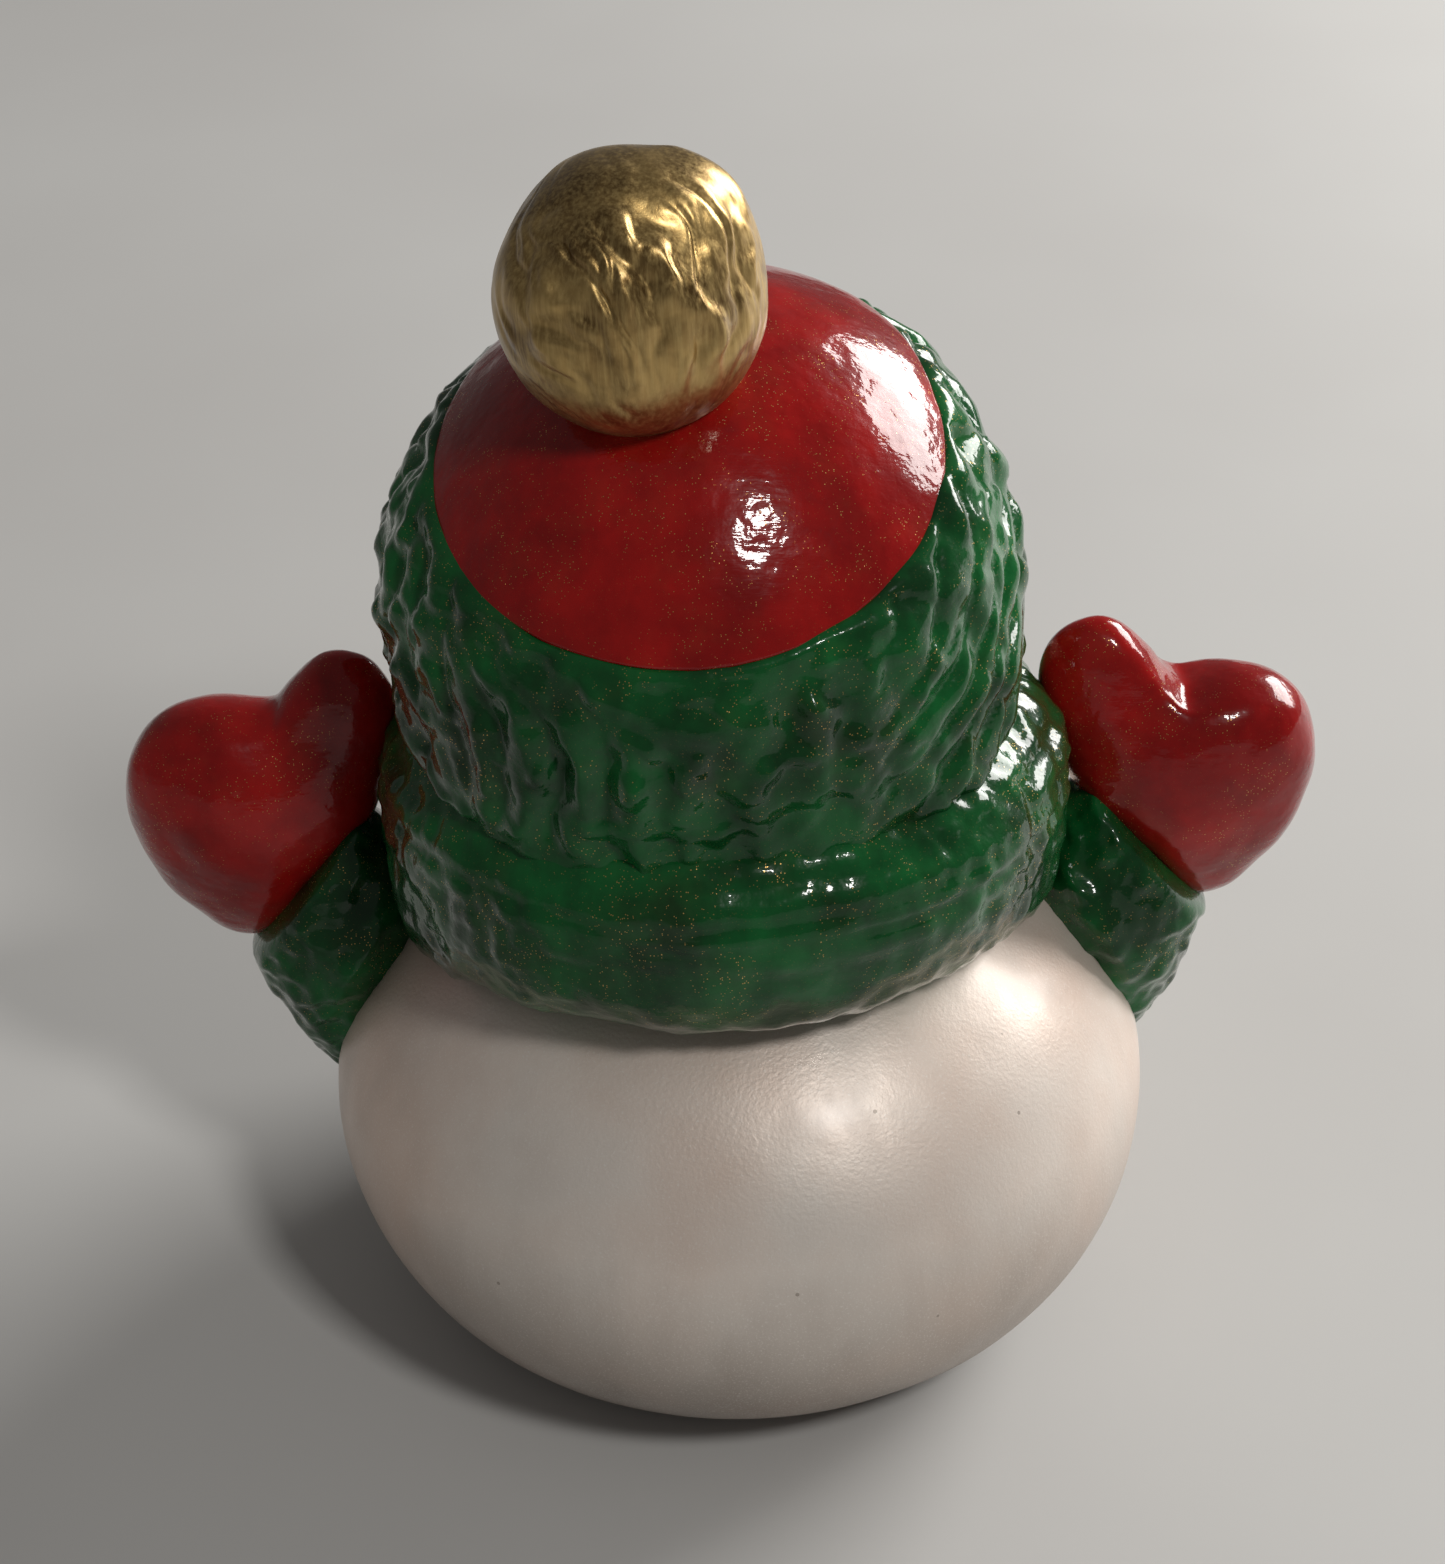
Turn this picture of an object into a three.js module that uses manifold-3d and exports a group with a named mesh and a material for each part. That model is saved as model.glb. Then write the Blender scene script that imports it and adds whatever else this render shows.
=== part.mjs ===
// Tomte gnome figurine: a slip-cast, luted and painted ceramic figure.
// Millimetres, +Z up. The origin is the centre of the flat foot. The figure faces -Y, so its
// left hand is on +X. Every piece is a separate casting or press-moulded lump of clay, and
// neighbours are kept apart by the thickness of the slip that lutes them together.

import * as THREE from "three";
import { ConvexGeometry } from "three/addons/geometries/ConvexGeometry.js";
import { mergeVertices } from "three/addons/utils/BufferGeometryUtils.js";
import Module from "manifold-3d";

const wasm = await Module();
wasm.setup();

// ---------------------------------------------------------------- driving dimensions

const LUTE = 0.3; // slip between two luted pieces

// Body: a squat hollow ellipsoid cut flat at the foot
const BODY_RADIUS = 34.7; // at the belly
const BODY_RISE = 26; // vertical half-axis
const BELLY_HEIGHT = 19.5; // of the widest level above the foot
const BODY_WALL = 3.5;
const FOOT_THICKNESS = 4;
const POUR_HOLE_RADIUS = 7.5;
const POUR_HOLE_BACK = 10; // of the hole's centre behind the foot's centre

// Neck joint: a hollow spigot on the body enters a socket in the head
const SPIGOT_RADIUS = 11.5;
const SPIGOT_WALL = 3.5;
const SPIGOT_STANDS = 5; // above the top of the body's ellipsoid
const NECK_WALL = 3.7;

// Head: a hollow ball
const HEAD_RADIUS = 22.6;
const HEAD_WALL = 3.3;
const HEAD_LIFT = 0.2; // of the ball's lowest point above the top of the body's ellipsoid
const HEAD_LEANS = 0.9; // of the head's centre towards the figure's left

// Cap: a smooth crown over a knitted cuff, both tipped towards the back
const CROWN_WALL = 2.4;
const CUFF_WALL = 3;
const CROWN_TIP_BACK = 22; // degrees
const CROWN_TIP_LEFT = 2.2;
const SEAM_ANGLE = 49.2; // of the crown's edge from its own axis, seen from the head's centre
const BRIM_TIP_BACK = 8;
const BRIM_DROP = 8; // of the cuff's lower edge below the head's centre

// Pompom
const POMPOM_RADIUS = 9.9;
const POMPOM_LENGTH = 21.2; // along its own axis
const POMPOM_SINK = 3.3; // of its end into the crown
const POMPOM_TIP_BACK = 17;
const POMPOM_TIP_LEFT = 7.8;
const POMPOM_PEG_RADIUS = 3;

// Scarf: a fat roll that lies on the shoulders round the neck
const SCARF_INSET = 6.4; // of its outer face from the belly's widest radius
const SCARF_THICKNESS = 17.6; // across the roll
const SCARF_SAG = 2.7; // of the roll's underside below the top of the body's ellipsoid
const SCARF_UNDER_BRIM = 0.9; // of the roll's top below the cuff's edge
const SCARF_SKIRT = 2.3; // thickness of its inner edge, where it meets the shoulders
const SCARF_TILT = 4.5; // degrees, higher at the back

// Scarf ends: a knot at the front left, with two tails lying on the belly
const KNOT_RADIUS = 4.6;
const KNOT_TURN = 47; // degrees round from the front
const KNOT_DROP = 5; // of the knot's centre below the roll's middle
const TAIL_WIDTH = 9.6;
const TAIL_THICKNESS = 2.8;
const TAILS = [
  { name: "scarf_tail_long", turn: 38, splay: 3, length: 25 },
  { name: "scarf_tail_short", turn: 57, splay: 5, length: 19 },
];

// Arms: short sleeves, raised outwards, that end in puffy mittens
const ARM_RISE = 37; // degrees of the arm's axis above level
const SHOULDER_DROP = 11; // of the arm's root below the top of the body's ellipsoid
const ARM_FORWARD = 4.4; // of the arm's axis in front of the body's
const SLEEVE_REACH = 8.3; // from the body's skin to the wrist, along the arm's axis
const WRIST_HALF_WIDTH = 9.4;
const WRIST_HALF_DEPTH = 5.6;
const SLEEVE_OVER_MITTEN = 0.7; // how far the sleeve's hem stands out past the mitten
const WRIST_SOFTNESS = 1.2;
const MITTEN_FORWARD = 0.6; // of the hand in front of the wrist
// The puffy lumps that a mitten is pressed over: how far along the arm, how far across it
// towards the head, and the half-sizes left-right, front-back and up-down.
const MITTEN_LUMPS = [
  { along: 11.2, across: 2.6, radii: [7.2, 6.2, 6.2] }, // fingers
  { along: 6.6, across: -3.4, radii: [5.6, 5.6, 5] }, // heel of the hand
  { along: 8.6, across: 7, radii: [5.2, 5.2, 4.6] }, // web beside the thumb
  { along: 4.8, across: 9.5, radii: [4.6, 4.8, 4.2] }, // root of the thumb
  { along: 7.4, across: 14.6, radii: [4.4, 4.2, 3.6] }, // tip of the thumb
];
const ELBOW_RADIUS = 5.8;
const ARM_PEG_RADIUS = 4;
const ARM_PEG_GRIP = 4; // length of the peg inside the sleeve

// Face
const NOSE_RADIUS = 5.4;
const NOSE_DROP = 17; // degrees below level, seen from the head's centre
const NOSE_STANDS = 5; // of the nose's centre off the head's skin

// Moustache: a row of lumps on each side, placed from the nose's centre
const MOUSTACHE_ROOT_RADIUS = 3.1;
const MOUSTACHE_LUMPS = [
  { out: MOUSTACHE_ROOT_RADIUS + LUTE / 2, forward: 2.6, below: 5, radius: MOUSTACHE_ROOT_RADIUS },
  { out: 9, forward: 2.4, below: 7, radius: 3.1 },
  { out: 15.4, forward: -0.8, below: 4.2, radius: 1.4 },
];

// Beard: rows of lumps down the bib. `share` runs from 0 at the scarf's middle to 1 at the tip, and
// each row is `out` to both sides and `proud` of a curtain hung from the scarf's front to the belly's.
const BEARD_TIP_RISE = 3; // of the tip above the belly's widest level
const BEARD_HALF_WIDTH = 11.6;
const BEARD_BULGE = 2.4; // of the bib's middle in front of its sides
const BEARD_ROWS = [
  { share: -0.3, out: 9.6, proud: -5.2, radius: 4.2 },
  { share: -0.154, out: BEARD_HALF_WIDTH, proud: 0.1, radius: 5 },
  { share: 0.035, out: BEARD_HALF_WIDTH, proud: 3.1, radius: 5.6 },
  { share: 0.315, out: 10, proud: 3.1, radius: 5.6 },
  { share: 0.594, out: 7, proud: 2.3, radius: 5 },
  { share: 0.825, out: 4, proud: 1, radius: 4.2 },
  { share: 1, out: 1.4, proud: -0.3, radius: 3.2 },
];

// ---------------------------------------------------------------- derived places

const BODY_TOP = BELLY_HEIGHT + BODY_RISE;
const HEAD_CENTRE = new THREE.Vector3(HEAD_LEANS, 0, BODY_TOP + HEAD_RADIUS + HEAD_LIFT);
const NECK_FOOT = new THREE.Vector3(0, 0, BELLY_HEIGHT);
const NECK_TOP = new THREE.Vector3(0, 0, HEAD_CENTRE.z);
const SCARF_RADIUS = BODY_RADIUS - SCARF_INSET;
const SCARF_UNDERSIDE = BODY_TOP - SCARF_SAG;
const SCARF_TOP = HEAD_CENTRE.z - BRIM_DROP - SCARF_UNDER_BRIM;
const SCARF_MIDDLE = (SCARF_TOP + SCARF_UNDERSIDE) / 2;
const NECK_RADIUS = SPIGOT_RADIUS + LUTE + NECK_WALL;
const CAP_BORE_RADIUS = HEAD_RADIUS + LUTE;
const CROWN_RADIUS = CAP_BORE_RADIUS + CROWN_WALL;
const CUFF_RADIUS = CAP_BORE_RADIUS + CUFF_WALL;
const FAR = 2 * (BODY_TOP + BODY_RADIUS); // longer than anything that is cut

const up = new THREE.Vector3(0, 0, 1);
const radians = THREE.MathUtils.degToRad;
const { lerp } = THREE.MathUtils;

// The unit vector that points up when nothing is tipped, towards +Y and +X when it is.
function tipped(back, left) {
  return new THREE.Vector3(Math.tan(radians(left)), Math.tan(radians(back)), 1).normalize();
}

const crownAxis = tipped(CROWN_TIP_BACK, CROWN_TIP_LEFT);
const brimAxis = tipped(BRIM_TIP_BACK, 0);
const pompomAxis = tipped(POMPOM_TIP_BACK, POMPOM_TIP_LEFT);

// ---------------------------------------------------------------- solids

const FINE = 40; // segments round a large form
const COARSE = 20; // round a small one
const SPARSE = 14; // round a form that only guides a hull

function solidOf(geometry) {
  const bare = geometry.clone();
  bare.deleteAttribute("normal");
  bare.deleteAttribute("uv");
  const merged = mergeVertices(bare, 1e-4);
  return new wasm.Manifold(
    new wasm.Mesh({
      numProp: 3,
      vertProperties: merged.attributes.position.array,
      triVerts: new Uint32Array(merged.index.array),
    }),
  );
}

function ballGeometry(radius, segments) {
  return new THREE.SphereGeometry(radius, segments, segments / 2).rotateX(Math.PI / 2);
}

function ball(radius, centre, segments = FINE) {
  return solidOf(ballGeometry(radius, segments).translate(centre.x, centre.y, centre.z));
}

// A round solid about the Z axis, from a profile of [radius, height] points.
function turned(profile, segments = FINE) {
  const points = profile.map(([radius, height]) => new THREE.Vector2(radius, height));
  return solidOf(new THREE.LatheGeometry(points, segments).rotateX(Math.PI / 2));
}

function rod(radius, from, to, segments = COARSE) {
  const length = from.distanceTo(to);
  const along = new THREE.Quaternion().setFromUnitVectors(up, to.clone().sub(from).normalize());
  const geometry = new THREE.CylinderGeometry(radius, radius, length, segments)
    .rotateX(Math.PI / 2)
    .translate(0, 0, length / 2)
    .applyQuaternion(along)
    .translate(from.x, from.y, from.z);
  return solidOf(geometry);
}

// Everything on the side of a plane that its normal points to.
function halfSpace(point, normal) {
  const turn = new THREE.Quaternion().setFromUnitVectors(up, normal.clone().normalize());
  const geometry = new THREE.BoxGeometry(FAR, FAR, FAR)
    .translate(0, 0, FAR / 2)
    .applyQuaternion(turn)
    .translate(point.x, point.y, point.z);
  return solidOf(geometry);
}

// The points of a small ellipsoid, for a hull to be stretched over.
function lump(centre, radii, turn = new THREE.Quaternion()) {
  const geometry = ballGeometry(1, SPARSE)
    .scale(...radii)
    .applyQuaternion(turn)
    .translate(centre.x, centre.y, centre.z);
  const position = geometry.attributes.position;
  return Array.from({ length: position.count }, (_, i) => new THREE.Vector3().fromBufferAttribute(position, i));
}

function roundLump(centre, radius) {
  return lump(centre, [radius, radius, radius]);
}

function stretchedOver(...lumps) {
  return solidOf(new ConvexGeometry(lumps.flat()));
}

// The main body of a cut solid, without the crumbs that a cut may leave beside it.
function trimmed(solid) {
  return solid.decompose().reduce((largest, next) => (next.volume() > largest.volume() ? next : largest));
}

function steps(count, from, to) {
  return Array.from({ length: count + 1 }, (_, i) => from + ((to - from) * i) / count);
}

function geometryOf(solid) {
  const { numProp, vertProperties, triVerts } = solid.getMesh();
  const position = new Float32Array((vertProperties.length / numProp) * 3);
  for (let i = 0; i < position.length / 3; i++)
    position.set(vertProperties.subarray(i * numProp, i * numProp + 3), i * 3);
  const geometry = new THREE.BufferGeometry();
  geometry.setAttribute("position", new THREE.BufferAttribute(position, 3));
  geometry.setIndex(new THREE.BufferAttribute(triVerts, 1));
  geometry.computeVertexNormals();
  return geometry;
}

// ---------------------------------------------------------------- outer forms, which seats are cut from

// The body's skin, moved out by `grow`, as a solid from the foot to the top.
function bodyForm(grow, foot = 0) {
  const radius = BODY_RADIUS + grow;
  const rise = BODY_RISE + grow;
  const lowest = -Math.asin((BELLY_HEIGHT - foot) / rise);
  const arc = steps(14, lowest, Math.PI / 2).map((t) => [radius * Math.cos(t), BELLY_HEIGHT + rise * Math.sin(t)]);
  arc[arc.length - 1][0] = 0;
  return turned([[0, foot], ...arc]);
}

function neckForm(grow) {
  return rod(NECK_RADIUS + grow, NECK_FOOT, NECK_TOP, FINE);
}

function headForm(grow) {
  return ball(HEAD_RADIUS + grow, HEAD_CENTRE).add(neckForm(grow));
}

const seamPoint = HEAD_CENTRE.clone().addScaledVector(crownAxis, CUFF_RADIUS * Math.cos(radians(SEAM_ANGLE)));
const brimPoint = HEAD_CENTRE.clone().addScaledVector(up, -BRIM_DROP);

function cuffForm(grow) {
  return ball(CUFF_RADIUS + grow, HEAD_CENTRE)
    .subtract(halfSpace(seamPoint, crownAxis))
    .subtract(halfSpace(brimPoint.clone().addScaledVector(brimAxis, -grow), brimAxis.clone().negate()));
}

// The scarf's roll before its seats are cut: round outside, with a skirt down to the shoulders.
function scarfForm(grow) {
  const across = SCARF_THICKNESS / 2;
  const tall = SCARF_TOP - SCARF_MIDDLE;
  const middle = SCARF_RADIUS - across;
  const foot = NECK_RADIUS + SCARF_SKIRT + grow;
  const bottom = BODY_TOP - BODY_RISE / 2 - SCARF_MIDDLE;
  const inside = NECK_RADIUS - NECK_WALL;
  const roll = steps(14, -90, 90).map((degrees) => [
    middle + (across + grow) * Math.cos(radians(degrees)),
    (tall + grow) * Math.sin(radians(degrees)),
  ]);
  return turned([[inside, bottom], [foot, bottom], ...roll, [inside, tall + grow], [inside, bottom]])
    .rotate([SCARF_TILT, 0, 0])
    .translate([0, 0, SCARF_MIDDLE]);
}

// ---------------------------------------------------------------- arms: places, for the side on +X

const armAxis = new THREE.Vector3(Math.cos(radians(ARM_RISE)), 0, Math.sin(radians(ARM_RISE)));
const inwards = new THREE.Vector3(-Math.sin(radians(ARM_RISE)), 0, Math.cos(radians(ARM_RISE)));
// Turns a lump's first axis along the arm and its third axis across the wrist.
const armTurn = new THREE.Quaternion().setFromAxisAngle(new THREE.Vector3(0, 1, 0), -radians(ARM_RISE));

// Where a line from `point` along `direction` leaves the body's skin.
function bodySkinAlong(point, direction) {
  const squash = new THREE.Vector3(1 / BODY_RADIUS, 1 / BODY_RADIUS, 1 / BODY_RISE);
  const p = point.clone().sub(new THREE.Vector3(0, 0, BELLY_HEIGHT)).multiply(squash);
  const d = direction.clone().multiply(squash);
  const half = p.dot(d) / d.lengthSq();
  const root = Math.sqrt(half * half - (p.lengthSq() - 1) / d.lengthSq());
  return point.clone().addScaledVector(direction, root - half);
}

const shoulderLevel = new THREE.Vector3(0, -ARM_FORWARD, BODY_TOP - SHOULDER_DROP);
const shoulder = bodySkinAlong(shoulderLevel, new THREE.Vector3(1, 0, 0));
const wrist = shoulder.clone().addScaledVector(armAxis, SLEEVE_REACH);

function onArm(along, across, forward = 0) {
  return wrist
    .clone()
    .addScaledVector(armAxis, along)
    .addScaledVector(inwards, across)
    .add(new THREE.Vector3(0, -forward, 0));
}

const pegSeat = bodySkinAlong(onArm(-SLEEVE_REACH, -1), armAxis);

// ---------------------------------------------------------------- the pieces

function bodyShell() {
  const spigotTop = new THREE.Vector3(0, 0, BODY_TOP + SPIGOT_STANDS);
  const holeBottom = new THREE.Vector3(0, POUR_HOLE_BACK, -FAR);
  const holeTop = new THREE.Vector3(0, POUR_HOLE_BACK, BELLY_HEIGHT);
  const cavity = bodyForm(-BODY_WALL, FOOT_THICKNESS);
  const socketEnd = pegSeat.clone().addScaledVector(armAxis, ARM_PEG_GRIP);
  const socketStart = pegSeat.clone().addScaledVector(armAxis, -2 * BODY_WALL);
  const socket = rod(ARM_PEG_RADIUS + LUTE, socketStart, socketEnd);
  return bodyForm(0)
    .add(rod(SPIGOT_RADIUS, NECK_FOOT, spigotTop, FINE))
    .subtract(cavity)
    .subtract(rod(SPIGOT_RADIUS - SPIGOT_WALL, NECK_FOOT, NECK_TOP, FINE))
    .subtract(rod(POUR_HOLE_RADIUS, holeBottom, holeTop, FINE))
    .subtract(socket)
    .subtract(socket.mirror([1, 0, 0]));
}

function headShell() {
  return headForm(0)
    .subtract(bodyForm(LUTE))
    .subtract(ball(HEAD_RADIUS - HEAD_WALL, HEAD_CENTRE))
    .subtract(rod(SPIGOT_RADIUS + LUTE, NECK_FOOT, NECK_TOP, FINE));
}

function hatCuff() {
  return cuffForm(0).subtract(ball(CAP_BORE_RADIUS, HEAD_CENTRE));
}

function hatCrown() {
  const pegHole = rod(POMPOM_PEG_RADIUS + LUTE, HEAD_CENTRE, pompomCentre());
  const edge = seamPoint.clone().addScaledVector(crownAxis, LUTE);
  return ball(CROWN_RADIUS, HEAD_CENTRE)
    .intersect(halfSpace(edge, crownAxis))
    .subtract(ball(CAP_BORE_RADIUS, HEAD_CENTRE))
    .subtract(pegHole);
}

function pompomCentre() {
  const reach = CROWN_RADIUS + POMPOM_LENGTH / 2 - POMPOM_SINK;
  return HEAD_CENTRE.clone().addScaledVector(pompomAxis, reach);
}

function pompom() {
  const centre = pompomCentre();
  const turn = new THREE.Quaternion().setFromUnitVectors(up, pompomAxis);
  const geometry = ballGeometry(1, COARSE)
    .scale(POMPOM_RADIUS, POMPOM_RADIUS, POMPOM_LENGTH / 2)
    .applyQuaternion(turn)
    .translate(centre.x, centre.y, centre.z);
  const pegEnd = HEAD_CENTRE.clone().addScaledVector(pompomAxis, CAP_BORE_RADIUS + LUTE);
  return solidOf(geometry)
    .subtract(ball(CROWN_RADIUS + LUTE, HEAD_CENTRE))
    .add(rod(POMPOM_PEG_RADIUS, pegEnd, centre));
}

function scarfWrap() {
  return scarfForm(0)
    .subtract(bodyForm(LUTE))
    .subtract(headForm(LUTE))
    .subtract(cuffForm(LUTE));
}

function nosePoint() {
  const drop = radians(NOSE_DROP);
  const forward = new THREE.Vector3(0, -Math.cos(drop), -Math.sin(drop));
  return HEAD_CENTRE.clone().addScaledVector(forward, HEAD_RADIUS + NOSE_STANDS);
}

function nose() {
  return ball(NOSE_RADIUS, nosePoint(), COARSE)
    .subtract(headForm(LUTE))
    .subtract(cuffForm(LUTE))
    .subtract(scarfForm(LUTE));
}

// A drooping lobe from under the nose to the cheek; side is 1 on +X and -1 on -X.
function moustacheForm(side, grow) {
  const [root, belly, tip] = MOUSTACHE_LUMPS.map(({ out, forward, below, radius }) =>
    roundLump(nosePoint().add(new THREE.Vector3(side * out, -forward, -below)), radius + grow),
  );
  return stretchedOver(root, belly).add(stretchedOver(belly, tip));
}

function moustache(side) {
  const lobe = moustacheForm(side, 0)
    .subtract(ball(NOSE_RADIUS + LUTE, nosePoint(), COARSE))
    .subtract(headForm(LUTE))
    .subtract(cuffForm(LUTE))
    .subtract(scarfForm(LUTE));
  return trimmed(lobe);
}

// The beard's front, before the seats behind it are cut: a bib from the cheeks to a rounded tip.
function beardForm(grow) {
  const lumps = BEARD_ROWS.flatMap(({ share, out, proud, radius }) => {
    const height = lerp(SCARF_MIDDLE, BELLY_HEIGHT + BEARD_TIP_RISE, share);
    const forward = lerp(SCARF_RADIUS, BODY_RADIUS, share) + proud - radius;
    const bulge = BEARD_BULGE * (out / BEARD_HALF_WIDTH);
    const places = [[-out, forward], [0, forward + bulge], [out, forward]];
    return places.map(([x, y]) => roundLump(new THREE.Vector3(x, -y, height), radius + grow));
  });
  return stretchedOver(...lumps);
}

function beard() {
  const bib = beardForm(0)
    .subtract(bodyForm(LUTE))
    .subtract(scarfForm(LUTE))
    .subtract(headForm(LUTE))
    .subtract(cuffForm(LUTE))
    .subtract(ball(NOSE_RADIUS + LUTE, nosePoint(), COARSE))
    .subtract(moustacheForm(1, LUTE))
    .subtract(moustacheForm(-1, LUTE));
  return trimmed(bib);
}

// A point `turn` degrees round from the front, at a radius and a height.
function round(turn, radius, height) {
  return new THREE.Vector3(radius * Math.sin(radians(turn)), -radius * Math.cos(radians(turn)), height);
}

function knotForm(grow) {
  const centre = round(KNOT_TURN, SCARF_RADIUS, SCARF_MIDDLE - KNOT_DROP);
  return ball(KNOT_RADIUS + grow, centre, COARSE);
}

function scarfKnot() {
  return trimmed(knotForm(0).subtract(scarfForm(LUTE)).subtract(bodyForm(LUTE)).subtract(beardForm(LUTE)));
}

// A flat strip that hangs from the knot and then follows the belly's curve.
function tailForm({ turn, splay, length }, grow) {
  const start = SCARF_MIDDLE - KNOT_DROP;
  const rows = steps(4, 0, length).map((down) => {
    const height = start - down;
    const share = Math.min(1, (height - BELLY_HEIGHT) / BODY_RISE);
    const skin = BODY_RADIUS * Math.sqrt(1 - share * share);
    const radius = Math.max(skin, SCARF_RADIUS - TAIL_THICKNESS);
    const here = turn + (splay * down) / length;
    const sideways = new THREE.Quaternion().setFromAxisAngle(up, radians(here));
    const wide = (TAIL_WIDTH / 2) * (0.72 + (0.28 * down) / length) + grow;
    return lump(round(here, radius, height), [wide, TAIL_THICKNESS + grow, TAIL_THICKNESS + grow], sideways);
  });
  return rows.slice(1).map((row, i) => stretchedOver(rows[i], row)).reduce((whole, next) => whole.add(next));
}

function scarfTail(tail) {
  const others = TAILS.slice(0, TAILS.indexOf(tail));
  const strip = tailForm(tail, 0)
    .subtract(bodyForm(LUTE))
    .subtract(scarfForm(LUTE))
    .subtract(knotForm(LUTE))
    .subtract(sleeveForm(LUTE))
    .subtract(beardForm(LUTE));
  return trimmed(others.reduce((left, other) => left.subtract(tailForm(other, LUTE)), strip));
}

function wristLump(grow) {
  return lump(onArm(0, 0), [WRIST_SOFTNESS, WRIST_HALF_DEPTH + grow, WRIST_HALF_WIDTH + grow], armTurn);
}

function mittenRaw() {
  const place = ({ along, across }) => onArm(along, across, MITTEN_FORWARD);
  const [fingers, heel, web, root, thumb] = MITTEN_LUMPS.map((one) => lump(place(one), one.radii));
  return stretchedOver(wristLump(0), fingers, heel, web).add(stretchedOver(wristLump(0), web, root, thumb));
}

function mitten() {
  return mittenRaw()
    .intersect(halfSpace(onArm(LUTE / 2, 0), armAxis))
    .subtract(scarfForm(LUTE))
    .subtract(cuffForm(LUTE))
    .subtract(headForm(LUTE));
}

function sleeveForm(grow) {
  return stretchedOver(
    wristLump(SLEEVE_OVER_MITTEN + grow),
    roundLump(onArm(-7.4, -8.6, -1.2), ELBOW_RADIUS + grow),
    roundLump(onArm(-9, 4, -1.2), ELBOW_RADIUS + grow),
  );
}

function sleeve() {
  const pegInside = pegSeat.clone().addScaledVector(armAxis, ARM_PEG_GRIP);
  const pegEnd = pegSeat.clone().addScaledVector(armAxis, -BODY_WALL);
  return sleeveForm(0)
    .subtract(halfSpace(onArm(-LUTE / 2, 0), armAxis))
    .subtract(bodyForm(LUTE))
    .subtract(scarfForm(LUTE))
    .add(rod(ARM_PEG_RADIUS, pegEnd, pegInside));
}

// ---------------------------------------------------------------- finishes

function paint(color, roughness, metalness) {
  return new THREE.MeshStandardMaterial({ color, roughness, metalness });
}

const pearlWhite = paint(0xdcd5cb, 0.35, 0.1);
const knitGreen = paint(0x0f5a26, 0.22, 0);
const glossRed = paint(0x9c1418, 0.18, 0);
const oldGold = paint(0x9a7a3c, 0.4, 0.8);
const skin = paint(0xe0a88c, 0.4, 0);

// ---------------------------------------------------------------- the assembly

function piece(name, solid, material) {
  const mesh = new THREE.Mesh(geometryOf(solid), material);
  mesh.name = name;
  return mesh;
}

// An arm is built for +X; the other side is its mirror image.
function arm(side, isLeft) {
  const group = new THREE.Group();
  group.add(piece(`sleeve_${side}`, sleeve(), knitGreen));
  group.add(piece(`mitten_${side}`, mitten(), glossRed));
  group.scale.x = isLeft ? 1 : -1;
  return group;
}

function bust() {
  const group = new THREE.Group();
  group.add(piece("head_shell", headShell(), skin));
  group.add(piece("hat_cuff", hatCuff(), knitGreen));
  group.add(piece("hat_crown", hatCrown(), glossRed));
  group.add(piece("pompom", pompom(), oldGold));
  group.add(piece("nose", nose(), skin));
  group.add(piece("moustache_left", moustache(1), pearlWhite));
  group.add(piece("moustache_right", moustache(-1), pearlWhite));
  group.add(piece("beard", beard(), pearlWhite));
  return group;
}

function scarf() {
  const group = new THREE.Group();
  group.add(piece("scarf_wrap", scarfWrap(), knitGreen));
  group.add(piece("scarf_knot", scarfKnot(), knitGreen));
  for (const tail of TAILS) group.add(piece(tail.name, scarfTail(tail), knitGreen));
  return group;
}

const figurine = new THREE.Group();
figurine.name = "tomte_gnome";
figurine.add(piece("body_shell", bodyShell(), pearlWhite));
figurine.add(scarf(), bust(), arm("left", true), arm("right", false));

export default figurine;
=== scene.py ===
"""A hand-painted, slip-cast gnome figure, seen from behind on a pale table."""

import math

import bmesh
import bpy
from mathutils import Matrix, Quaternion, Vector, noise


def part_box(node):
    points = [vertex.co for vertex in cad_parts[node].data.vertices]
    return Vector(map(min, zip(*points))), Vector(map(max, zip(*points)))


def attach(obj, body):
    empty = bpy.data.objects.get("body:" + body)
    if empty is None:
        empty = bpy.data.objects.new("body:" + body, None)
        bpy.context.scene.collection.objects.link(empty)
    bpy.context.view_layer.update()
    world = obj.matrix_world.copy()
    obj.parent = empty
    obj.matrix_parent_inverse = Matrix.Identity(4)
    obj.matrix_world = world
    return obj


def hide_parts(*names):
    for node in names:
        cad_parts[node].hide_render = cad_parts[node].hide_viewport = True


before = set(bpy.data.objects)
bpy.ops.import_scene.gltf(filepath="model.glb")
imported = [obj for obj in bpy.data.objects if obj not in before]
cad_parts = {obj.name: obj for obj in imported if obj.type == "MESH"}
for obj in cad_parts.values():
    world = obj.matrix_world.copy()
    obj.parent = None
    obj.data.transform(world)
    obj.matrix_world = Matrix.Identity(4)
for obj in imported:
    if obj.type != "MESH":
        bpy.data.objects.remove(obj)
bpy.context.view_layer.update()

MM = 0.001
UP = Vector((0, 0, 1))


# ---------------------------------------------------------------- places taken from the frame


def width_of(node):
    low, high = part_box(node)
    return high.x - low.x


head_low, head_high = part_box("head_shell")
body_low, body_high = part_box("body_shell")
scarf_low, scarf_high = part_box("scarf_wrap")
pompom_low, pompom_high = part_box("pompom")

BELLY = (body_high.x - body_low.x) / 2
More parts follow.
